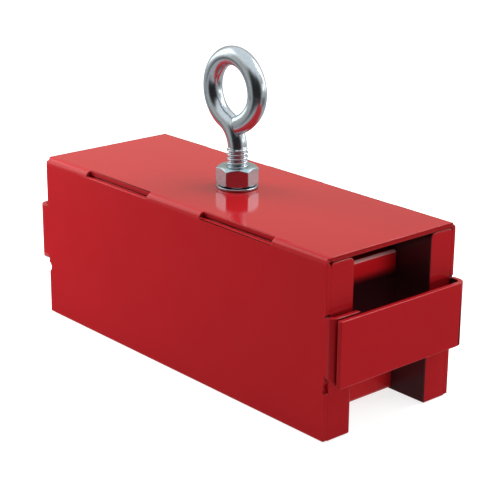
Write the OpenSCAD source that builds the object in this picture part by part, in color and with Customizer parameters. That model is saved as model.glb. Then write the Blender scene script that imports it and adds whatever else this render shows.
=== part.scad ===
/* [Body] */
// Length of the pole plates and of the cover's long sides
body_length = 127; // [100:1:180]
// Width over the cover's two long sides
body_width = 49.2; // [42:0.2:70]
// Height from the pole faces to the top of the cover
body_height = 51.8; // [43:0.2:75]

/* [Cover sheet] */
// Thickness of the steel sheet that the cover is folded from
sheet_t = 1.5; // [1:0.1:2]
// Outside radius of the cover's bends
bend_r = 2.2; // [2.2:0.1:3.5]
// Distance from the middle to the near end of each crease slot on the two long bends
slot_near = 12.1; // [8:0.1:20]
// Length of each crease slot on the two long bends
slot_length = 29.8; // [10:0.1:32]
// How far each crease slot cuts past the sheet's thickness
slot_past = 0.25; // [0.1:0.05:0.3]
// Diameter of the relief hole at each end of the long bends
corner_relief_d = 1.1; // [0.8:0.1:2.4]
// How far the sides of the cover stop short of the pole faces
skirt_lift = 0.3; // [0.1:0.1:2]

/* [End straps] */
// Height of the straps' lower edge above the pole faces
strap_bottom = 17; // [8:0.1:20]
// Height of the straps from lower to upper edge
strap_height = 18.8; // [10:0.1:24]
// Gap between a pole plate's end and the strap's inner layer
strap_standoff = 1.1; // [0.3:0.1:3]
// Gap between the two layers of a strap
layer_gap = 1; // [0.1:0.1:2]
// How far an outer layer stops short of the far side of the cover
outer_layer_short = 0.7; // [0.5:0.1:10]
// Length of an inner layer from the outside of the cover's side
inner_layer_length = 10; // [6:0.1:30]
// Outer radius of an outer layer's bend
strap_bend_r = 2.8; // [2.2:0.1:4.5]
// Radius that rounds the lower corner of a strap beside its bend
strap_corner_r = 3; // [1:0.1:6]
// Diameter of the relief hole above a strap's bend
strap_relief_d = 0.6; // [0.6:0.1:3]
// Diameter of the larger notch below a strap's bend
strap_notch_d = 3.2; // [1.6:0.1:4]
// How far the middle of that notch lies below the strap
strap_notch_drop = 1.4; // [0:0.1:2]
// How far the middle of that notch lies beyond the end of the body
strap_notch_out = 0.6; // [0:0.1:1]

/* [Pole plates] */
// Thickness of each pole plate
plate_t = 8.4; // [5:0.1:12]
// Gap between a pole plate's top and the cover
plate_top_gap = 0.1; // [0.1:0.1:1]
// Gap between a pole plate and the cover's side
plate_side_gap = 0.05; // [0.02:0.01:0.3]
// Radius along a pole plate's upper inner edge
plate_inner_r = 1.7; // [0.5:0.1:3]
// Clearance between a pole plate's upper outer edge and the inside of the bend
plate_bend_gap = 0.4; // [0.2:0.1:1]
// Chamfer along a pole plate's lower edges
plate_chamfer = 0.4; // [0.2:0.1:1]

/* [Magnets] */
// How far the magnets stop short of each end of the pole plates
stack_setback = 12.7; // [8:0.1:25]
// How far the magnets stop short of the pole faces
stack_recess = 0.4; // [0.2:0.1:3]
// Number of magnets along the body
columns = 4; // [2:1:6]
// Radius of a magnet's four pressed corners
magnet_corner_r = 1.1; // [0.5:0.1:2]
// Width of the glue line between neighbouring magnets
glue_gap = 0.06; // [0.02:0.01:0.2]
// Gap between the magnets and the end of the eyebolt
stack_clearance = 0.5; // [0.3:0.1:4]

/* [Eyebolt] */
// Outside diameter of the eyebolt's thread
thread_d = 6.3; // [5:0.05:8]
// Height of the thread's upper end above the cover
thread_top = 11.7; // [10:0.1:16]
// Diameter of the wire that the eye is bent from
wire_d = 5.7; // [4.6:0.1:7]
// Inside diameter of the eye
eye_inside_d = 14.3; // [12:0.1:30]
// Height of the eye's centre above the cover
eye_centre = 28.8; // [26:0.1:48]
// How far the eye's centre lies to one side of the thread's axis
eye_offset = -1.4; // [-3:0.1:1]
// Turn of the eye about the thread's axis
eye_heading = -1; // [-90:1:90]
// Angle from level down to the wire's cut end
eye_end_angle = 70; // [50:1:75]
// Swing of the eye's last quarter out of its plane
eye_end_swing = 20; // [14:1:30]
// Length of the thread past the inner nut
thread_tail = 0.3; // [0.2:0.1:3]

/* [Nuts and washers] */
// Width of the hexagon nuts across their flats
nut_flats = 11.1; // [9.5:0.1:14]
// Height of the hexagon nuts
nut_h = 5.75; // [4:0.1:7]
// Turn of the lock nut about the thread's axis
lock_nut_heading = -11.5; // [-30:0.5:30]
// Depth of the chamfer on a nut's corners
nut_chamfer = 0.5; // [0.3:0.1:1]
// Outside diameter of the lock washer on top of the cover
lock_washer_d = 12.1; // [10:0.1:16]
// Thickness of the lock washer
lock_washer_t = 0.8; // [0.8:0.1:2]
// Outside diameter of the washer inside the cover
inner_washer_d = 18; // [14:0.1:22]
// Thickness of the washer inside the cover
inner_washer_t = 1.2; // [0.8:0.1:2]
// Running clearance around the thread in a nut
thread_clear = 0.05; // [0.02:0.01:0.1]
// Running clearance around the thread in the cover and the washers
hole_clear = 0.1; // [0.05:0.01:0.1]
// Face clearance between parts that turn on one another
face_gap = 0.05; // [0.02:0.01:0.2]

/* [Hidden] */
$fn = 64;
LAYER_NAMES = ["front", "middle", "rear"];
COLUMN_LIST = [1 : columns];

half_length = body_length / 2;
half_width = body_width / 2;
bend_inner_r = bend_r - sheet_t;
slot_cut = sheet_t + slot_past;
past = 1;                                   // how far a cut runs past what it cuts

plate_outer_y = half_width - sheet_t - plate_side_gap;
plate_inner_y = plate_outer_y - plate_t;
plate_top = body_height - sheet_t - plate_top_gap;

outer_reach = strap_standoff + 2 * sheet_t + layer_gap;
inner_reach = strap_standoff + sheet_t;
strap_top = strap_bottom + strap_height;

under_cover = body_height - sheet_t;
inner_nut_top = under_cover - face_gap - inner_washer_t;
bolt_end = inner_nut_top - nut_h - thread_tail;
stack_top = bolt_end - stack_clearance;
stack_height = stack_top - stack_recess;
column_pitch = (body_length - 2 * stack_setback) / columns;
layer_pitch = 2 * plate_inner_y / len(LAYER_NAMES);
magnet_length = column_pitch - glue_gap;
magnet_thickness = layer_pitch - glue_gap;

lock_washer_z = body_height + face_gap;
lock_nut_z = lock_washer_z + lock_washer_t + face_gap;

// The eye is the arc of a ring; a shorter arc of opposite sense leads the wire off the thread's axis
eye_r = (eye_inside_d + wire_d) / 2;
eye_z = body_height + eye_centre;
thread_end_z = body_height + thread_top;
neck_rise = eye_z - thread_end_z;
neck_r = (pow(neck_rise, 2) + pow(eye_offset, 2) - pow(eye_r, 2)) / (2 * (eye_r - eye_offset));
neck_angle = atan2(neck_rise, eye_offset + neck_r);
arc_lap = 0.5;                              // degrees by which one length of wire laps into the last
arc_step = 0.04;                            // each length is this much thinner than the last, to seat in it

enamel = [0.68, 0.13, 0.14];
zinc = [0.80, 0.81, 0.82];
ferrite = [0.45, 0.12, 0.12];

// What is left outside a round in the corner of a square: x and y grow into the square
module corner_waste(r) {
    translate([-past, -past]) difference() {
        square(r + past);
        translate([r + past, r + past]) circle(r);
    }
}

// Rectangle from the middle of its lower edge, with its two upper corners rounded
module arch(width, height, r) {
    difference() {
        translate([-width / 2, 0]) square([width, height]);
        for (side = [0, 1]) mirror([side, 0]) translate([width / 2, height]) rotate(180) corner_waste(r);
    }
}

// Extrudes a section drawn in the Y-Z plane along X, centred on the body's middle
module along_x(length) {
    rotate([90, 0, 90]) translate([0, 0, -length / 2]) linear_extrude(length) children();
}

module channel() {
    along_x(body_length) difference() {
        translate([0, skirt_lift]) arch(body_width, body_height - skirt_lift, bend_r);
        translate([0, -past])
            arch(body_width - 2 * sheet_t, body_height - sheet_t + past, bend_inner_r);
    }
}

// Section of one strap layer in the X-Y plane: off the +Y side, round the +X end
module strap_section(reach, length, outer_r) {
    outer_x = half_length + reach;
    free_y = half_width - length;
    difference() {
        union() {
            translate([half_length - past, half_width - sheet_t]) square([reach + past, sheet_t]);
            translate([outer_x - sheet_t, free_y]) square([sheet_t, half_width - free_y]);
            translate([outer_x - sheet_t, half_width - sheet_t]) rotate(180) difference() {
                square(outer_r - sheet_t);
                translate([outer_r - sheet_t, outer_r - sheet_t]) circle(outer_r - sheet_t);
            }
        }
        translate([outer_x, half_width]) rotate(180) corner_waste(outer_r);
    }
}

// Hole above and notch below the root of a strap, cut through from the +Y side
module strap_reliefs(depth) {
    translate([half_length, half_width + past, strap_top]) rotate([90, 0, 0])
        cylinder(h = depth + 2 * past, d = strap_relief_d);
    translate([half_length + strap_notch_out, half_width + past, strap_bottom - strap_notch_drop])
        rotate([90, 0, 0]) cylinder(h = depth + 2 * past, d = strap_notch_d);
}

module strap_layer(reach, length, outer_r) {
    difference() {
        translate([0, 0, strap_bottom]) linear_extrude(strap_height)
            strap_section(reach, length, outer_r);
        translate([half_length, half_width, strap_bottom])
            rotate([90, 0, 90]) translate([0, 0, -past]) linear_extrude(reach + 2 * past)
                mirror([1, 0]) corner_waste(strap_corner_r);
        strap_reliefs(sheet_t);
    }
}

// Both layers of the +X end's strap: the outer one comes off the rear side, the inner one off the front
module end_strap() {
    strap_layer(outer_reach, body_width - outer_layer_short, strap_bend_r);
    mirror([0, 1, 0]) strap_layer(inner_reach, inner_layer_length, bend_r);
}

module long_bend_cuts() {
    for (side = [0, 1], end = [0, 1]) mirror([0, side, 0]) mirror([end, 0, 0]) {
        translate([slot_near, half_width - slot_cut, body_height - slot_cut])
            cube([slot_length, slot_cut + past, slot_cut + past]);
        translate([half_length, half_width - bend_r / 2, body_height - bend_r / 2]) rotate([-45, 0, 0])
            translate([0, 0, -2 * bend_r]) cylinder(h = 4 * bend_r, d = corner_relief_d);
    }
}

module cover() {
    color(enamel) difference() {
        union() {
            difference() {
                channel();
                for (end = [0, 1]) mirror([end, 0, 0]) strap_reliefs(body_width);
            }
            for (end = [0, 180]) rotate(end) end_strap();
        }
        long_bend_cuts();
        translate([0, 0, body_height - sheet_t - past])
            cylinder(h = sheet_t + 2 * past, r = thread_d / 2 + hole_clear);
    }
}

module plate_section() {
    outer_r = bend_inner_r + plate_bend_gap;
    difference() {
        translate([plate_inner_y, 0]) square([plate_t, plate_top]);
        translate([plate_outer_y, plate_top]) rotate(180) corner_waste(outer_r);
        translate([plate_inner_y, plate_top]) rotate(-90) corner_waste(plate_inner_r);
        for (y = [plate_inner_y, plate_outer_y]) translate([y, 0]) rotate(45)
            square(plate_chamfer * sqrt(2), center = true);
    }
}

module pole_plate() {
    color(enamel) along_x(body_length) plate_section();
}

module front_pole_plate() {
    mirror([0, 1, 0]) pole_plate();
}

module rear_pole_plate() {
    pole_plate();
}

// One pressed magnet block: rounded where the die held it, flat and square where it was ground
module magnet(layer, column) {
    centre_x = (column - (columns + 1) / 2) * column_pitch;
    centre_y = (layer - (len(LAYER_NAMES) - 1) / 2) * layer_pitch;
    color(ferrite) translate([centre_x, centre_y + magnet_thickness / 2, stack_recess]) rotate([90, 0, 0])
        linear_extrude(magnet_thickness) difference() {
            arch(magnet_length, stack_height, magnet_corner_r);
            for (side = [0, 1]) mirror([side, 0]) translate([-magnet_length / 2, 0])
                corner_waste(magnet_corner_r);
        }
}

// A length of wire bent to radius r about the origin of the X-Z plane
module wire_arc(r, from, to, d) {
    rotate([90, 0, 0]) rotate(from) rotate_extrude(angle = to - from) translate([r, 0]) circle(d = d);
}

module eye() {
    translate([-neck_r, 0, thread_end_z]) wire_arc(neck_r, -arc_lap, neck_angle, wire_d + arc_step);
    translate([eye_offset, 0, eye_z]) {
        wire_arc(eye_r, 0, 180 + neck_angle + arc_lap, wire_d);
        translate([eye_r, 0, 0]) rotate(eye_end_swing) translate([-eye_r, 0, 0])
            wire_arc(eye_r, -eye_end_angle, arc_lap, wire_d - arc_step);
    }
}

module eyebolt() {
    color(zinc) rotate(eye_heading) union() {
        translate([0, 0, bolt_end]) cylinder(h = thread_end_z - bolt_end, d = thread_d);
        eye();
    }
}

module hex_nut() {
    bore_r = thread_d / 2 + thread_clear;
    corner_r = nut_flats / sqrt(3);
    difference() {
        cylinder(h = nut_h, r = corner_r, $fn = 6);
        translate([0, 0, -past]) cylinder(h = nut_h + 2 * past, r = bore_r);
        for (face = [0, 1]) translate([0, 0, face * nut_h]) mirror([0, 0, face])
            rotate_extrude() polygon([[corner_r + past, -past], [corner_r + past, nut_chamfer + past],
                [corner_r, nut_chamfer], [corner_r - nut_chamfer * sqrt(3), 0],
                [corner_r - nut_chamfer * sqrt(3), -past]]);
    }
}

module washer(outside_d, thickness) {
    difference() {
        cylinder(h = thickness, d = outside_d);
        translate([0, 0, -past]) cylinder(h = thickness + 2 * past, r = thread_d / 2 + hole_clear);
    }
}

module lock_washer() {
    color(zinc) translate([0, 0, lock_washer_z]) washer(lock_washer_d, lock_washer_t);
}

module lock_nut() {
    color(zinc) translate([0, 0, lock_nut_z]) rotate(lock_nut_heading) hex_nut();
}

module inner_washer() {
    color(zinc) translate([0, 0, inner_nut_top]) washer(inner_washer_d, inner_washer_t);
}

module inner_nut() {
    color(zinc) translate([0, 0, inner_nut_top - nut_h]) hex_nut();
}

cover();
front_pole_plate();
rear_pole_plate();
for (layer = [0 : len(LAYER_NAMES) - 1], column = COLUMN_LIST)
    magnet(layer, column);
eyebolt();
lock_washer();
lock_nut();
inner_washer();
inner_nut();
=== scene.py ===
import math
import bpy
import bmesh
from mathutils import Matrix, Vector


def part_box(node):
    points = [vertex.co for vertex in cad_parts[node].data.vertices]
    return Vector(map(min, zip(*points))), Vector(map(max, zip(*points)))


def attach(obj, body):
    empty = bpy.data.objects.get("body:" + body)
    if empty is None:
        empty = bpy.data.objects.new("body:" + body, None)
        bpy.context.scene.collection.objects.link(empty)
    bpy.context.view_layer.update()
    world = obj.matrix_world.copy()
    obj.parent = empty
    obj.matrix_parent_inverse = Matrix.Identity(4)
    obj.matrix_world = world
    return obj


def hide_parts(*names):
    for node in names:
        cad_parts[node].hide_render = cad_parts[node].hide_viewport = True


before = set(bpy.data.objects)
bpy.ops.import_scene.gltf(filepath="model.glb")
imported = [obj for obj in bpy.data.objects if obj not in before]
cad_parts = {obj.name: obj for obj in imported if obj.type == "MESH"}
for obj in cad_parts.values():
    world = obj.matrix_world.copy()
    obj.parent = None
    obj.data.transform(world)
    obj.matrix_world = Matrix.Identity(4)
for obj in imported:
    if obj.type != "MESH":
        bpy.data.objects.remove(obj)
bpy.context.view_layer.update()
mm = 0.001  # one millimetre in metres; lengths are in mm unless a note says otherwise
print("frame loaded:", len(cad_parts), "nodes")

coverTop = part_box("cover")[1].z / mm
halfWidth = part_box("cover")[1].y / mm
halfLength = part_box("rear_pole_plate")[1].x / mm
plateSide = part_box("rear_pole_plate")[1].y / mm


def linearColour(hexText):
    # sRGB hex to the linear values that the nodes work in
    def toLinear(part):
        value = int(part, 16) / 255
        return value / 12.92 if value <= 0.04045 else ((value + 0.055) / 1.055) ** 2.4
    return [toLinear(hexText[i:i + 2]) for i in (1, 3, 5)] + [1.0]


def grey(value):
    return (value, value, value, 1.0)


def addNode(tree, kind, settings=None, links=None):
    # settings are properties, values of inputs, or the stops of a colour ramp; links say what feeds which
    # input; an input goes by its name or its number
    node = tree.nodes.new(kind)
    for key, value in (settings or {}).items():
        if key == "stops":
            elements = node.color_ramp.elements
            elements.remove(elements[1])
            elements[0].position, elements[0].color = value[0]
            for position, colour in value[1:]:
                elements.new(position).color = colour
        elif isinstance(key, str) and key in node.bl_rna.properties:
            setattr(node, key, value)
        else:
            node.inputs[key].default_value = value
    for key, source in (links or {}).items():
        tree.links.new(source, node.inputs[key])
    return node


def newMaterial(name):
    material = bpy.data.materials.new(name)
    material.use_nodes = True
    tree = material.node_tree
    tree.nodes.clear()
    return material, tree


redEnamel = {
    "thick": "#891116",       # where the coat is full
    "thin": "#810F15",        # a little deeper where it sagged
    "cloudSize": 30.0,        # slow change of colour over a panel
    "roughness": 0.09,
    "stray": (-0.03, 0.05),   # of the roughness, in a thin haze
    "hazeSize": 9.0,
    "specular": 0.28,         # under the usual 0.5, which lays too much of the white tent over the red
    "peelSize": 2.2,          # orange peel, from crest to crest
    "peelHeight": 0.003,
    "peelStrength": 0.3,
    # painted shade: the colour that seams and hollows are darkened towards, by how closed in they are
    "seamShadeColour": "#4A0C10",
    "seamShadeReach": 1.6,         # how far the painted shade spreads out of a seam
    "seamShadeOpen": (0.35, 0.8),  # how open the surroundings are where the painted shade is full, and where it ends
}


def makeRedEnamel(name, spec, coat=None, rougher=0.0, shadeInSeams=1.0, strapShadow=None):
    # baked alkyd enamel sprayed on steel: a deep glossy red with a faint orange peel, and painted shade
    # that darkens it in the seams and hollows
    material, tree = newMaterial(name)
    place = addNode(tree, "ShaderNodeTexCoord").outputs["Object"]
    thick, thin = coat or (spec["thick"], spec["thin"])
    clouds = addNode(tree, "ShaderNodeTexNoise", {"Scale": 1 / (spec["cloudSize"] * mm), "Detail": 3.0},
                     {"Vector": place})
    coating = addNode(tree, "ShaderNodeMix",
                      {"data_type": "RGBA", 6: linearColour(thick), 7: linearColour(thin)},
                      {"Factor": clouds.outputs["Fac"]})
    # painted shade: ambient occlusion darkens the colour in seams and hollows
    seamShadeOcclusion = addNode(tree, "ShaderNodeAmbientOcclusion",
                           {"samples": 8, "only_local": True, "Distance": spec["seamShadeReach"] * mm})
    closed, clear = spec["seamShadeOpen"]
    seamShadeFactor = addNode(tree, "ShaderNodeMapRange",
                       {"From Min": closed, "From Max": clear, "To Min": 1.0 - shadeInSeams},
                       {"Value": seamShadeOcclusion.outputs["AO"]})
    colour = addNode(tree, "ShaderNodeMix", {"data_type": "RGBA", 6: linearColour(spec["seamShadeColour"])},
                     {"Factor": seamShadeFactor.outputs["Result"], 7: coating.outputs[2]}).outputs[2]
    # painted shadow of the strap on the blocks' ends
    if strapShadow:
        colour = paintStrapShadow(tree, place, colour, strapShadow)
    peel = addNode(tree, "ShaderNodeTexNoise",
                   {"Scale": 1 / (spec["peelSize"] * mm), "Detail": 2.0, "Roughness": 0.4}, {"Vector": place})
    relief = addNode(tree, "ShaderNodeBump",
                     {"Strength": spec["peelStrength"], "Distance": spec["peelHeight"] * mm},
                     {"Height": peel.outputs["Fac"]})
    haze = addNode(tree, "ShaderNodeTexNoise", {"Scale": 1 / (spec["hazeSize"] * mm), "Detail": 4.0},
                   {"Vector": place})
    smoothest, roughest = [spec["roughness"] + rougher + stray for stray in spec["stray"]]
    rough = addNode(tree, "ShaderNodeMapRange", {"To Min": smoothest, "To Max": roughest},
                    {"Value": haze.outputs["Fac"]})
    shader = addNode(tree, "ShaderNodeBsdfPrincipled", {"IOR": 1.5, "Specular IOR Level": spec["specular"]},
                     {"Base Color": colour, "Roughness": rough.outputs["Result"],
                      "Normal": relief.outputs["Normal"]})
    addNode(tree, "ShaderNodeOutputMaterial", None, {"Surface": shader.outputs["BSDF"]})
    return material


def paintStrapShadow(tree, place, colour, spec):
    # painted shadow of the strap: the heights behind the strap are painted dark, those over and under it keep
    # the red
    reach = 50  # heights up to this one fill the ramp
    height = addNode(tree, "ShaderNodeSeparateXYZ", None, {"Vector": place})
    level = addNode(tree, "ShaderNodeMapRange", {"From Max": reach * mm}, {"Value": height.outputs["Z"]})
    low, high, soft = spec["from"] / reach, spec["to"] / reach, spec["soft"] / reach
    stops = [(low, grey(spec["underStrap"])), (low + soft, grey(0)), (high - soft, grey(0)), (high, grey(1))]
    outOfStrapShadow = addNode(tree, "ShaderNodeValToRGB", {"stops": stops}, {"Fac": level.outputs["Result"]})
    strapShadowed = addNode(tree, "ShaderNodeMix", {"data_type": "RGBA", 6: linearColour(spec["colour"])},
                   {"Factor": outOfStrapShadow.outputs["Color"], 7: colour})
    return strapShadowed.outputs[2]


zincPlate = {
    "bright": "#D2DEE6",     # clear zinc
    "dull": "#BAC6CE",       # milky zinc
    "grainSize": 0.9,        # the faint mottle of the plating
    "roughness": 0.24,
    "stray": (-0.03, 0.025),
    "drawnSize": 0.35,       # lines from drawing the wire, coarser than the real 0.05 so that they show
    "drawnHeight": 0.0006,
    "drawnStrength": 0.25,
}


def makeZincPlate(name, spec, rougher=0.0, darker=1.0):
    # bright electroplated zinc on cold-formed steel: clear highlights with a slight milkiness
    material, tree = newMaterial(name)
    place = addNode(tree, "ShaderNodeTexCoord").outputs["Object"]
    bright, dull = [[part * darker for part in linearColour(spec[tone])[:3]] + [1]
                    for tone in ("bright", "dull")]
    mottle = addNode(tree, "ShaderNodeTexNoise", {"Scale": 1 / (spec["grainSize"] * mm), "Detail": 5.0},
                     {"Vector": place})
    colour = addNode(tree, "ShaderNodeMix", {"data_type": "RGBA", 6: bright, 7: dull},
                     {"Factor": mottle.outputs["Fac"]})
    smoothest, roughest = [spec["roughness"] + rougher + stray for stray in spec["stray"]]
    rough = addNode(tree, "ShaderNodeMapRange", {"To Min": smoothest, "To Max": roughest},
                    {"Value": mottle.outputs["Fac"]})
    drawn = addNode(tree, "ShaderNodeTexNoise", {"Scale": 1 / (spec["drawnSize"] * mm), "Detail": 3.0},
                    {"Vector": place})
    relief = addNode(tree, "ShaderNodeBump",
                     {"Strength": spec["drawnStrength"], "Distance": spec["drawnHeight"] * mm},
                     {"Height": drawn.outputs["Fac"]})
    shader = addNode(tree, "ShaderNodeBsdfPrincipled", {"Metallic": 1.0},
                     {"Base Color": colour.outputs[2], "Roughness": rough.outputs["Result"],
                      "Normal": relief.outputs["Normal"]})
    addNode(tree, "ShaderNodeOutputMaterial", None, {"Surface": shader.outputs["BSDF"]})
    return material


coverEnamel = makeRedEnamel("redEnamelOnSheet", redEnamel)
plateEnamel = makeRedEnamel("redEnamelOnBar", redEnamel)
# sheared edges hold a thin coat, which lets the dark steel through; their darker colour is partly painted
# shade
edgeEnamelAndShade = makeRedEnamel("thinEnamelAndShadeOnShearedEdge", redEnamel, ("#7E0F12", "#700D10"))
# painted shade in the hollow: its walls are painted dark, and a little less glossy
hollowShadeEnamel = makeRedEnamel("paintedShadeInHollow", redEnamel, ("#441A1D", "#341417"), 0.06)
# the enamel on the ferrite, in a brighter red as painted light, with a painted shadow of the strap: nearly
# black behind it
magnetEnamelWithShadow = makeRedEnamel("redEnamelOnFerriteWithPaintedShadow", redEnamel, ("#BE181E", "#B0151A"), 0.02, 0.4,
                             {"from": 10.0, "to": 38.5, "soft": 3.0, "underStrap": 0.7, "colour": "#38151A"})
# painted highlight: the chamfers are painted pale, and a little less glossy
chamferHighlightEnamel = makeRedEnamel("paintedHighlightOnChamfer", redEnamel, ("#D89090", "#CC8686"), 0.1, 0.3)
brightZinc = makeZincPlate("brightZincOnWire", zincPlate)
# blue passivated zinc on turned nuts, a little cooler than the wire
nutZinc = makeZincPlate("blueZincOnNut", {**zincPlate, "bright": "#BED6DC", "dull": "#A8C0C7"})
# zinc on stamped spring steel, dulled by the hardening: rougher and darker
washerZinc = makeZincPlate("dullZincOnSpringSteel", zincPlate, 0.1, 0.8)
print("materials made")


def addPiece(name, mesh, material, body, nodes):
    piece = bpy.data.objects.new(name, mesh)
    bpy.context.scene.collection.objects.link(piece)
    mesh.materials.clear()
    mesh.materials.append(material)
    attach(piece, body)
    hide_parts(*nodes)
    return piece


def paintFaces(piece, material, choose):
    # gives its own material to the faces that choose(centre, normal) picks
    piece.data.materials.append(material)
    index = len(piece.data.materials) - 1
    for face in piece.data.polygons:
        if choose(face.center / mm, face.normal):
            face.material_index = index


def evenNormals(piece, weight):
    # large flat faces keep their own normal, so that they mirror as a plane; at weight 100 no small face
    # has a say, which suits a bar whose ends are single faces
    even = piece.modifiers.new("evenNormals", "WEIGHTED_NORMAL")
    even.keep_sharp = True
    even.weight = weight


def softenEdges(piece, spec, choose):
    # rounds the sharp edges; those that choose(start, end) picks get only a share of the rounding
    shape = bmesh.new()
    shape.from_mesh(piece.data)
    weight = shape.edges.layers.float.new("bevel_weight_edge")
    for edge in shape.edges:
        if edge.calc_face_angle(0) > math.radians(spec["sharpAngle"]):
            edge[weight] = spec["crispShare"] if choose(*[vertex.co / mm for vertex in edge.verts]) else 1.0
    shape.to_mesh(piece.data)
    shape.free()
    bevel = piece.modifiers.new("softEdges", "BEVEL")
    bevel.width, bevel.segments = spec["edge"] * mm, 3
    bevel.limit_method = "WEIGHT"
    bevel.use_clamp_overlap = False
    bevel.miter_outer = "MITER_ARC"
    bevel.harden_normals = True
    evenNormals(piece, 50)


def cleanCopy(nodeName):
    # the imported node's mesh with its flat faces whole again, so that its edges can be rounded
    shape = bmesh.new()
    shape.from_mesh(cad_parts[nodeName].data)
    bmesh.ops.remove_doubles(shape, verts=shape.verts, dist=0.002 * mm)
    bmesh.ops.dissolve_limit(shape, angle_limit=math.radians(0.8), verts=shape.verts, edges=shape.edges)
    mesh = bpy.data.meshes.new(nodeName + "Mesh")
    shape.to_mesh(mesh)
    shape.free()
    mesh.shade_smooth()
    return mesh


def finishSharp(mesh, angle=35):
    # turns all faces outward and keeps the edges above the angle sharp
    shape = bmesh.new()
    shape.from_mesh(mesh)
    bmesh.ops.recalc_face_normals(shape, faces=shape.faces)
    for edge in shape.edges:
        edge.smooth = edge.calc_face_angle(0) < math.radians(angle)
    shape.to_mesh(mesh)
    shape.free()
    return mesh


def loftRings(name, rings, closed=False):
    # joins rings of equal count into one skin; an open row of rings gets a cap at each end
    count = len(rings[0])
    points = [tuple(point) for ring in rings for point in ring]
    faces = []
    for i in range(len(rings) if closed else len(rings) - 1):
        a, b = i * count, ((i + 1) % len(rings)) * count
        for j in range(count):
            k = (j + 1) % count
            faces.append((a + j, a + k, b + k, b + j))
    if not closed:
        last = (len(rings) - 1) * count
        faces.append(tuple(reversed(range(count))))
        faces.append(tuple(range(last, last + count)))
    mesh = bpy.data.meshes.new(name)
    mesh.from_pydata(points, [], faces)
    mesh.update()
    mesh.shade_smooth()
    return mesh


foldedCover = {
    "sheet": 1.5,           # thickness
    "edge": 0.24,           # rounding that the paint gives to the edges
    "crispShare": 0.12,     # what is left of it on the edges that stay crisp
    "sharpAngle": 32.0,     # degrees, from where an edge counts as one
    "notch": (15.0, 21.0),  # heights between which the sides are cut out below the strap
}


def staysCrisp(a, b):
    # picks the small arcs of the notches, and the upright edges that lie flush with the plates' ends
    def inNotch(point):
        low, high = foldedCover["notch"]
        return abs(point.x) > halfLength - 3 and abs(point.y) > plateSide - 1 and low < point.z < high

    def atEnd(point):
        return abs(abs(point.x) - halfLength) < 0.1

    smallArc = inNotch(a) and inNotch(b) and (a - b).length < 3
    upright = atEnd(a) and atEnd(b) and abs(a.z - b.z) > 3
    return smallArc or (upright and abs(abs(a.y) - plateSide) < 0.2)


def facesInShadedHollow(centre, normal):
    # picks what looks into the hollow between the poles: its walls, and the top panel from below; these get
    # the painted shade
    sheet = foldedCover["sheet"]
    inward = normal.y * centre.y < -0.5 * abs(centre.y)
    wall = inward and centre.z < coverTop - 0.5 and abs(centre.y) < halfWidth - sheet + 0.3
    return wall or (normal.z < -0.5 and coverTop - 2 * sheet < centre.z < coverTop - sheet + 0.3)


def isSheared(centre, normal):
    # picks the top panel's two ends and the free ends of the strap's layers, which get the thin coat with
    # painted shade
    atTop = centre.z > coverTop - foldedCover["sheet"] - 0.1
    panelEnd = atTop and abs(normal.x) > 0.9 and abs(centre.x) > halfLength - 0.1
    strapEnd = abs(normal.y) > 0.9 and abs(centre.x) > halfLength + 0.3 and abs(centre.y) < halfWidth - 0.3
    return panelEnd or strapEnd


cover = addPiece("foldedCover", cleanCopy("cover"), coverEnamel, "magnet_body", ["cover"])
# the hollow's faces get painted shade; the sheared ends a thin coat that is partly painted shade
paintFaces(cover, hollowShadeEnamel, facesInShadedHollow)
paintFaces(cover, edgeEnamelAndShade, isSheared)
softenEdges(cover, foldedCover, staysCrisp)

polePlate = {
    "innerTop": 1.7,    # radius along the upper edge beside the hollow
    "outerTop": 1.1,    # radius under the cover's bend
    "foot": 0.5,        # radius along the pole face
    "endRound": 0.45,   # rounding of the two ends
    "seamRound": 0.03,  # the same where the paint bridges the seam with the cover
    "arcSteps": 8,      # along each radius of the section
    "endSteps": 6,      # along each end's rounding
}


def makePlate(name, spec, low, high):
    # rounded bar: its section is lofted along X, and drawn in towards both ends
    side = 1 if high.y > 0 else -1
    inner, outer = min(abs(low.y), abs(high.y)) / mm, max(abs(low.y), abs(high.y)) / mm
    foot, top, end = low.z / mm, high.z / mm, high.x / mm
    corners = ((inner, foot, spec["foot"], 180), (outer, foot, spec["foot"], 270),
               (outer, top, spec["outerTop"], 0), (inner, top, spec["innerTop"], 90))
    section = []
    for y, z, radius, begin in corners:
        middleY = y + radius if y == inner else y - radius
        middleZ = z + radius if z == foot else z - radius
        for step in range(spec["arcSteps"] + 1):
            a = math.radians(begin + 90 * step / spec["arcSteps"])
            section.append((middleY, middleZ, radius, math.cos(a), math.sin(a)))
    inSteps = list(range(spec["endSteps"] + 1))
    rings = []
    for sign, steps in ((-1, inSteps), (1, inSteps[::-1])):
        for step in steps:
            a = math.radians(90 * step / spec["endSteps"])
            ring = []
            for y, z, radius, outward, upward in section:
                reach = spec["seamRound"] if outward > 0.7 else spec["endRound"]  # outward lies the cover
                grown = radius - reach * (1 - math.sin(a))
                x = sign * (end - reach * (1 - math.cos(a)))
                ring.append(Vector((x, side * (y + outward * grown), z + upward * grown)) * mm)
            rings.append(ring if side > 0 else ring[::-1])
    return finishSharp(loftRings(name, rings), 40)


for plateName in ("front_pole_plate", "rear_pole_plate"):
    mesh = makePlate(plateName + "Mesh", polePlate, *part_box(plateName))
    plate = addPiece(plateName + "Bar", mesh, plateEnamel, "magnet_body", [plateName])
    evenNormals(plate, 100)
    # painted shade on the faces towards the hollow
    paintFaces(plate, hollowShadeEnamel, facesInShadedHollow)

ferriteBlock = {
    "glueBridge": 0.03,  # how far the paint reaches over the glue lines between the layers
    "glueLines": 0.3,    # they lie within this share of the body's half width
}


def isChamfer(centre, normal):
    # picks the slanting edges at the tops of a block's ends, which get the painted highlight
    return normal.z > 0.3 and abs(normal.x) > 0.3


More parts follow.
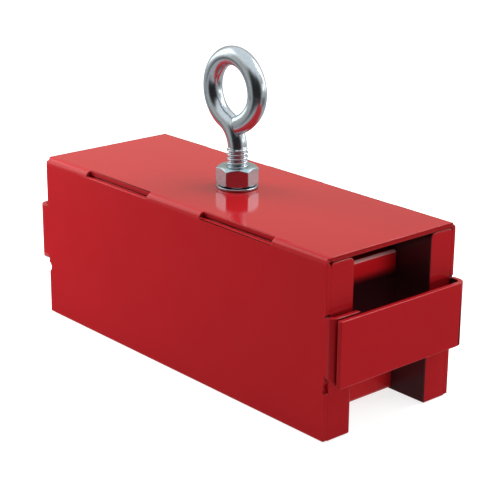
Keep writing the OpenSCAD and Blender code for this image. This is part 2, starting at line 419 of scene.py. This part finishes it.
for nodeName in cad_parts:
    if "_magnet_" in nodeName:
        block = addPiece(nodeName + "Block", finishSharp(cleanCopy(nodeName)), magnetEnamelWithShadow, "magnet_body",
                         [nodeName])
        # painted highlight on the chamfers
        paintFaces(block, chamferHighlightEnamel, isChamfer)
        middleY = sum(corner.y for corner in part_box(nodeName)) / 2
        for vertex in block.data.vertices:
            if abs(vertex.co.y) < ferriteBlock["glueLines"] * halfWidth * mm:
                vertex.co.y += math.copysign(ferriteBlock["glueBridge"] * mm, vertex.co.y - middleY)
print("body made")

eyebolt = {
    "threadDiameter": 6.3,  # 1/4 inch, rolled a little under size
    "threadPitch": 1.27,    # 20 threads to the inch
    "threadDepth": 0.62,
    "rootFlat": 0.18,       # share of half a pitch that the root takes
    "flank": 0.66,          # share that the flank takes
    "threadTop": 11.7,      # above the cover
    "tipRadius": 2.4,       # where the chamfer of the tip starts
    "wireDiameter": 5.7,
    "runOut": (0.02, 0.2),  # above the thread: where its last turn ends, and where the plain wire begins
    "eyeRadius": 10.0,      # to the middle of the wire
    "eyeCentre": 28.8,      # above the cover
    "eyeOffset": -1.4,      # sideways from the shank's axis
    "heading": -1.0,        # degrees, of the eye about Z
    "endAngle": 70.0,       # degrees, how far the wire goes on below the eye's middle
    "endSwing": 20.0,       # degrees, how far that end is bent out of the eye's plane
    "endRings": ((0.06, 0.14), (0.18, 0.26), (0.36, 0.34), (1.2, 0.36), (2.2, 0.37)),  # inward, forward
    "endTilt": 0.1,         # slope of the sheared end
    "endShort": 0.3,        # how much the shear takes off
    "sides": 64,
    "rowsPerTurn": 14,
    "neckSteps": 24,
    "eyeSteps": 96,
    "endSteps": 28,
}


def threadRadius(spec, angle, height):
    # 60 degree rolled thread: flat crest, rounded root
    phase = (height / spec["threadPitch"] - angle / (2 * math.pi)) % 1.0
    away = abs(phase - 0.5) * 2  # 0 in the root, 1 on the crest
    lift = min(1.0, max(0.0, (away - spec["rootFlat"]) / spec["flank"]))
    lift = lift * lift * (3 - 2 * lift) * 0.5 + lift * 0.5
    return spec["threadDiameter"] / 2 - spec["threadDepth"] * (1 - lift)


def boltPath(spec, start):
    # up the shank, round the neck and round the eye: each entry is a point of the middle line, its
    # direction and the wire's radius, which is None where the thread sets it
    wire = spec["wireDiameter"] / 2
    threadEnd, eyeHeight = coverTop + spec["threadTop"], coverTop + spec["eyeCentre"]
    rise, offset, eyeRadius = eyeHeight - threadEnd, spec["eyeOffset"], spec["eyeRadius"]
    neckRadius = (rise ** 2 + offset ** 2 - eyeRadius ** 2) / (2 * (eyeRadius - offset))
    neckAngle = math.atan2(rise, offset + neckRadius)
    up = Vector((0, 0, 1))
    path = []
    rows = int((threadEnd - start) / (spec["threadPitch"] / spec["rowsPerTurn"]))
    for i in range(rows + 1):
        path.append((Vector((0, 0, start + (threadEnd - start) * i / rows)), up, None))
    lastTurn, plain = spec["runOut"]
    path.append((Vector((0, 0, threadEnd + lastTurn)), up, spec["threadDiameter"] / 2 - 0.1))
    path.append((Vector((0, 0, threadEnd + plain)), up, wire + 0.02))
    for i in range(2, spec["neckSteps"] + 1):
        a = neckAngle * i / spec["neckSteps"]
        path.append((Vector((neckRadius * math.cos(a) - neckRadius, 0, threadEnd + neckRadius * math.sin(a))),
                     Vector((-math.sin(a), 0, math.cos(a))), wire))
    for i in range(1, spec["eyeSteps"] + 1):
        a = (math.pi + neckAngle) * (1 - i / spec["eyeSteps"])
        path.append((Vector((offset + eyeRadius * math.cos(a), 0, eyeHeight + eyeRadius * math.sin(a))),
                     Vector((math.sin(a), 0, -math.cos(a))), wire))
    swing = Matrix.Rotation(math.radians(spec["endSwing"]), 3, "Z")
    pivot = Vector((offset + eyeRadius, 0, eyeHeight))
    for i in range(1, spec["endSteps"] + 1):
        a = -math.radians(spec["endAngle"]) * i / spec["endSteps"]
        bend = Vector((eyeRadius * math.cos(a) - eyeRadius, 0, eyeRadius * math.sin(a)))
        path.append((pivot + swing @ bend, swing @ Vector((math.sin(a), 0, -math.cos(a))), wire - 0.02))
    return path


def makeEyebolt(spec):
    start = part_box("eyebolt")[0].z / mm
    path = boltPath(spec, start)
    turn = Matrix.Rotation(math.radians(spec["heading"]), 3, "Z")
    angles = [2 * math.pi * j / spec["sides"] for j in range(spec["sides"])]
    side = Vector((1, 0, 0))
    rings = []
    for centre, along, radius in path:
        side = (side - along * side.dot(along)).normalized()
        across = along.cross(side)
        ring = []
        for angle in angles:
            reach = radius
            if reach is None:
                reach = min(threadRadius(spec, angle, centre.z), spec["tipRadius"] + (centre.z - start))
            spoke = side * (reach * math.cos(angle)) + across * (reach * math.sin(angle))
            ring.append(turn @ (centre + spoke) * mm)
        rings.append(ring)
    # the sheared end goes on from the last ring: a small round and a face that is not quite square
    deepest = spec["endRings"][-1][1]
    for inset, forward in spec["endRings"]:
        reach = radius - inset
        ring = []
        for angle in angles:
            tilt = spec["endTilt"] * reach * math.cos(angle) * forward / deepest
            spoke = side * (reach * math.cos(angle)) + across * (reach * math.sin(angle))
            ring.append(turn @ (centre + spoke + along * (forward - spec["endShort"] + tilt)) * mm)
        rings.append(ring)
    return loftRings("eyeboltMesh", rings)


addPiece("bentWireEyebolt", makeEyebolt(eyebolt), brightZinc, "lifting_eye", ["eyebolt"])
print("eyebolt made")

hexNut = {
    "flats": 11.1,             # across the flats, 7/16 inch
    "cornerRadius": 6.33,
    "bore": 3.2,               # radius
    "countersink": 3.55,       # radius at the faces
    "faceRadius": 5.2,         # where the corner chamfer starts
    "chamferSlope": 0.75,
    "heading": -11.5,          # degrees, of the lock nut about Z
    "faceEase": (0.12, 0.1),   # rounding where a face meets the chamfer: inward, outward
    "flatEase": (0.05, 0.07),  # rounding where a flat meets the chamfer: inward, down the flat
    "flatSteps": (-30, -29.2, -28, -25, -20, -14, -7, 0, 7, 14, 20, 25, 28, 29.2),  # degrees across a flat
}


def makeNut(name, spec, low, height, heading):
    # rings of one count run down the bore, out over the lower face, up the flats and back over the top
    steps = [face * 60 + offset for face in range(6) for offset in spec["flatSteps"]]
    half = spec["flats"] / 2

    def hexRadius(degrees, shrink=0.0):
        off = (degrees + 30) % 60 - 30
        return min((half - shrink) / math.cos(math.radians(off)), spec["cornerRadius"] - shrink)

    def drop(radius):
        return max(0.0, radius - spec["faceRadius"]) * spec["chamferSlope"]

    def ringOf(rule):
        ring = []
        for degrees in steps:
            radius, z = rule(degrees)
            a = math.radians(degrees + heading + 30)
            ring.append(Vector((radius * math.cos(a), radius * math.sin(a), low + z)) * mm)
        return ring

    bore, sink = spec["bore"], spec["countersink"]
    faceEnd, chamferStart = spec["faceRadius"] - spec["faceEase"][0], spec["faceRadius"] + spec["faceEase"][1]
    inward, down = spec["flatEase"]
    rules = [
        lambda d: (bore, sink - bore),
        lambda d: (bore, height - (sink - bore)),
        lambda d: (sink, height),
        lambda d: (faceEnd, height),
        lambda d: (chamferStart, height - drop(chamferStart)),
        lambda d: (hexRadius(d, inward), height - drop(hexRadius(d, inward))),
        lambda d: (hexRadius(d), height - drop(hexRadius(d)) - down),
        lambda d: (hexRadius(d), height * 0.5),
        lambda d: (hexRadius(d), drop(hexRadius(d)) + down),
        lambda d: (hexRadius(d, inward), drop(hexRadius(d, inward))),
        lambda d: (chamferStart, drop(chamferStart)),
        lambda d: (faceEnd, 0.0),
        lambda d: (sink, 0.0),
    ]
    return finishSharp(loftRings(name, [ringOf(rule) for rule in rules], closed=True), 22)


for nodeName, body, heading in (("lock_nut", "lock_nut", hexNut["heading"]), ("inner_nut", "lifting_eye", 0)):
    low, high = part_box(nodeName)
    mesh = makeNut(nodeName + "Mesh", hexNut, low.z / mm, (high - low).z / mm, heading)
    addPiece(nodeName + "Hex", mesh, nutZinc, body, [nodeName])

washers = {
    "innerRadius": 3.25,  # of both
    "splitGap": 1.2,      # the cut of the spring washer
    "splitAt": 130.0,     # degrees, where the cut faces
    "splitLift": 0.12,    # how much higher one end of the cut stands
    "splitEdge": 0.1,
    "splitSteps": 120,
    "flatEdge": 0.15,
    "flatSteps": 96,
}


def circlePoint(angle, radius, z):
    return Vector((radius * math.cos(angle), radius * math.sin(angle), z)) * mm


def makeSplitWasher(name, spec, low, high, outer):
    # a turn of square wire, cut across, its ends a hair apart in height
    inner, edge, lift, count = spec["innerRadius"], spec["splitEdge"], spec["splitLift"], spec["splitSteps"]
    gap = math.degrees(spec["splitGap"] / outer)
    thick = high - low - lift
    section = [(inner + edge, 0), (inner, edge), (inner, thick - edge), (inner + edge, thick),
               (outer - edge, thick), (outer, thick - edge), (outer, edge), (outer - edge, 0)]
    rings = []
    for i in range(count + 1):
        share = i / count
        a = math.radians(spec["splitAt"] + gap / 2 + (360 - gap) * share)
        rings.append([circlePoint(a, radius, low + z + lift * share) for radius, z in section])
    return finishSharp(loftRings(name, rings))


def makeFlatWasher(name, spec, low, high, outer):
    # stamped: the upper outer edge is rounded more than the others
    inner, edge, count = spec["innerRadius"], spec["flatEdge"], spec["flatSteps"]
    section = [(inner + edge, low), (inner, low + edge), (inner, high - edge), (inner + edge, high),
               (outer - edge * 2, high), (outer, high - edge * 2), (outer, low + edge), (outer - edge, low)]
    rings = [[circlePoint(2 * math.pi * i / count, radius, z) for radius, z in section] for i in range(count)]
    return finishSharp(loftRings(name, rings, closed=True))


low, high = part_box("lock_washer")
mesh = makeSplitWasher("lockWasherMesh", washers, low.z / mm, high.z / mm, high.x / mm)
addPiece("splitLockWasher", mesh, washerZinc, "lock_washer", ["lock_washer"])

low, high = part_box("inner_washer")
mesh = makeFlatWasher("innerWasherMesh", washers, low.z / mm, high.z / mm, high.x / mm)
addPiece("flatInnerWasher", mesh, washerZinc, "lifting_eye", ["inner_washer"])
print("nuts and washers made")


def directionOf(azimuth, elevation=0.0):
    # towards a place round the part: 0 is in front of it, 90 at its right-hand end
    a, e = math.radians(azimuth), math.radians(elevation)
    return Vector((math.sin(a) * math.cos(e), -math.cos(a) * math.cos(e), math.sin(e)))


# levels of the tent run from 0 straight down over 0.5 at the horizon to 1 straight up
studio = {
    "floorColour": "#A4A4A4",
    "floorGlow": 0.78,       # opal sheet lit from below, so that the shadow stays soft
    "floorSize": 6.0,        # m
    "below": 0.5,            # brightness of the table in reflections
    "horizon": (0.47, 0.53),
    "wall": (0.5, 0.47, 0.42, 1.0),  # linear, a slightly warm far wall
    "ceiling": (0.68, 0.82),
    "above": 0.95,
    "dark": 0.02,            # seen through the opening of the tent, behind the camera
    "openingAt": 45.0,       # degrees, where the opening is
    "openingEdge": (0.76, 0.84),
    "openingFoot": (0.25, 0.31),
    "openingTop": (0.77, 0.88),
    "shade": 0.12,           # two dark boards beside the table, which the upright faces mirror
    "shadeAt": 131.0,        # degrees, where one stands; the other is opposite
    "shadeEdge": (0.855, 0.885),
    "shadeFoot": (0.24, 0.26),
    "shadeTop": (0.36, 0.4),
}


def makeFloor(spec):
    # opal acrylic, sanded: pale, and bright enough from below to keep the shadow faint
    material, tree = newMaterial("paleFloor")
    shader = addNode(tree, "ShaderNodeBsdfPrincipled", {
        "Base Color": linearColour(spec["floorColour"]), "Roughness": 0.9, "Specular IOR Level": 0.1,
        "Emission Color": grey(1), "Emission Strength": spec["floorGlow"]})
    addNode(tree, "ShaderNodeOutputMaterial", None, {"Surface": shader.outputs["BSDF"]})
    size = spec["floorSize"]
    mesh = bpy.data.meshes.new("floorMesh")
    corners = [(-size, -size, 0), (size, -size, 0), (size, size, 0), (-size, size, 0)]
    mesh.from_pydata(corners, [], [(0, 1, 2, 3)])
    mesh.materials.append(material)
    floor = bpy.data.objects.new("paleFloor", mesh)
    bpy.context.scene.collection.objects.link(floor)
    floor.location.z = -0.2 * mm  # clear of the pole faces
    floor.visible_glossy = False


def addPatch(tree, across, edge, level, foot, top):
    # 1 on a patch of the tent with soft borders, 0 elsewhere
    stops = [(edge[0], grey(0)), (edge[1], grey(1))]
    sides = addNode(tree, "ShaderNodeValToRGB", {"stops": stops}, {"Fac": across})
    stops = [(foot[0], grey(0)), (foot[1], grey(1)), (top[0], grey(1)), (top[1], grey(0))]
    heights = addNode(tree, "ShaderNodeValToRGB", {"stops": stops}, {"Fac": level})
    patch = addNode(tree, "ShaderNodeMath", {"operation": "MULTIPLY"},
                    {0: sides.outputs["Color"], 1: heights.outputs["Color"]})
    return patch.outputs["Value"]


def makeTent(spec):
    # a tent of white cloth, lit from outside; it is seen in reflections, and as plain white behind the part
    world = bpy.data.worlds.new("lightTent")
    bpy.context.scene.world = world
    world.use_nodes = True
    tree = world.node_tree
    tree.nodes.clear()
    place = addNode(tree, "ShaderNodeTexCoord").outputs["Generated"]
    split = addNode(tree, "ShaderNodeSeparateXYZ", None, {"Vector": place})
    wholeSpan = {"From Min": -1.0, "From Max": 1.0}
    level = addNode(tree, "ShaderNodeMapRange", wholeSpan, {"Value": split.outputs["Z"]}).outputs["Result"]
    below, wall, above = grey(spec["below"]), spec["wall"], grey(spec["above"])
    stops = [(0.0, below), (spec["horizon"][0], below), (spec["horizon"][1], wall),
             (spec["ceiling"][0], wall), (spec["ceiling"][1], above)]
    cloth = addNode(tree, "ShaderNodeValToRGB", {"stops": stops}, {"Fac": level})

    oneSide = addNode(tree, "ShaderNodeVectorMath",
                      {"operation": "DOT_PRODUCT", 1: directionOf(spec["shadeAt"])}, {0: place})
    eitherSide = addNode(tree, "ShaderNodeMath", {"operation": "ABSOLUTE"}, {0: oneSide.outputs["Value"]})
    boards = addPatch(tree, eitherSide.outputs["Value"], spec["shadeEdge"],
                      level, spec["shadeFoot"], spec["shadeTop"])
    withBoards = addNode(tree, "ShaderNodeMix", {"data_type": "RGBA", 7: grey(spec["shade"])},
                         {"Factor": boards, 6: cloth.outputs["Color"]})

    facing = addNode(tree, "ShaderNodeVectorMath",
                     {"operation": "DOT_PRODUCT", 1: directionOf(spec["openingAt"])}, {0: place})
    toward = addNode(tree, "ShaderNodeMapRange", wholeSpan, {"Value": facing.outputs["Value"]})
    opening = addPatch(tree, toward.outputs["Result"], spec["openingEdge"],
                       level, spec["openingFoot"], spec["openingTop"])
    room = addNode(tree, "ShaderNodeMix", {"data_type": "RGBA", 7: grey(spec["dark"])},
                   {"Factor": opening, 6: withBoards.outputs[2]})

    path = addNode(tree, "ShaderNodeLightPath")
    seen = addNode(tree, "ShaderNodeMix", {"data_type": "RGBA", 7: grey(1)},
                   {"Factor": path.outputs["Is Camera Ray"], 6: room.outputs[2]})
    light = addNode(tree, "ShaderNodeBackground", {"Strength": 1.0}, {"Color": seen.outputs[2]})
    addNode(tree, "ShaderNodeOutputWorld", None, {"Surface": light.outputs["Background"]})


# distances and sizes in m, angles in degrees; brightness 1 is that of the white backdrop
softboxes = {
    "leftStrip": {"azimuth": -68, "elevation": 26, "distance": 0.7, "width": 0.44, "height": 0.6,
                  "brightness": 1.3},
    "rightStrip": {"azimuth": 164, "elevation": 28, "distance": 0.7, "width": 0.34, "height": 0.7,
                   "brightness": 1.7},
    "endStrip": {"azimuth": 131, "elevation": 13, "distance": 0.6, "width": 0.26, "height": 0.12,
                 "brightness": 1.8},
    "edgeStrip": {"azimuth": 153, "elevation": 46, "distance": 0.7, "width": 0.16, "height": 0.16,
                  "brightness": 9.0},
    "leftKey": {"azimuth": -68, "elevation": 20, "distance": 0.32, "width": 0.2, "height": 0.2,
                "brightness": 18.0, "mirrored": False},
    "topKey": {"azimuth": 160, "elevation": 75, "distance": 0.8, "width": 0.5, "height": 0.5,
               "brightness": 11.0, "mirrored": False},
    "lowFill": {"azimuth": 106, "elevation": -2, "distance": 0.4, "width": 0.16, "height": 0.04,
                "brightness": 27.0, "mirrored": False},
}


def addSoftbox(name, spec, aim):
    lamp = bpy.data.lights.new(name, "AREA")
    lamp.shape = "RECTANGLE"
    lamp.size, lamp.size_y = spec["width"], spec["height"]
    lamp.energy = spec["brightness"] * math.pi * spec["width"] * spec["height"]
    holder = bpy.data.objects.new(name, lamp)
    bpy.context.scene.collection.objects.link(holder)
    back = directionOf(spec["azimuth"], spec["elevation"])
    holder.location = aim + back * spec["distance"]
    holder.rotation_mode = "QUATERNION"
    holder.rotation_quaternion = (-back).to_track_quat("-Z", "Y")
    holder.visible_glossy = spec.get("mirrored", True)


makeFloor(studio)
makeTent(studio)
for boxName, spec in softboxes.items():
    addSoftbox(boxName, spec, Vector((0, 0, coverTop * mm / 2)))

cameraSetup = {
    "azimuth": 48.57,         # degrees
    "elevation": 18.76,
    "roll": 0.51,
    "distance": 445.0,
    "aim": (2.7, 2.84, 32.3),
    "lens": 107.45,
    "sensor": 36.0,
}


def makeCamera(spec):
    data = bpy.data.cameras.new("camera")
    data.lens, data.sensor_width = spec["lens"], spec["sensor"]
    data.clip_start, data.clip_end = 0.01, 50
    holder = bpy.data.objects.new("camera", data)
    bpy.context.scene.collection.objects.link(holder)
    back = directionOf(spec["azimuth"], spec["elevation"])
    holder.location = (Vector(spec["aim"]) + back * spec["distance"]) * mm
    aimed = (-back).to_track_quat("-Z", "Y").to_matrix().to_4x4()
    holder.rotation_mode = "QUATERNION"
    holder.rotation_quaternion = (aimed @ Matrix.Rotation(math.radians(spec["roll"]), 4, "Z")).to_quaternion()
    bpy.context.scene.camera = holder


makeCamera(cameraSetup)
bpy.context.scene.view_settings.view_transform = "Standard"
print("studio and camera made")
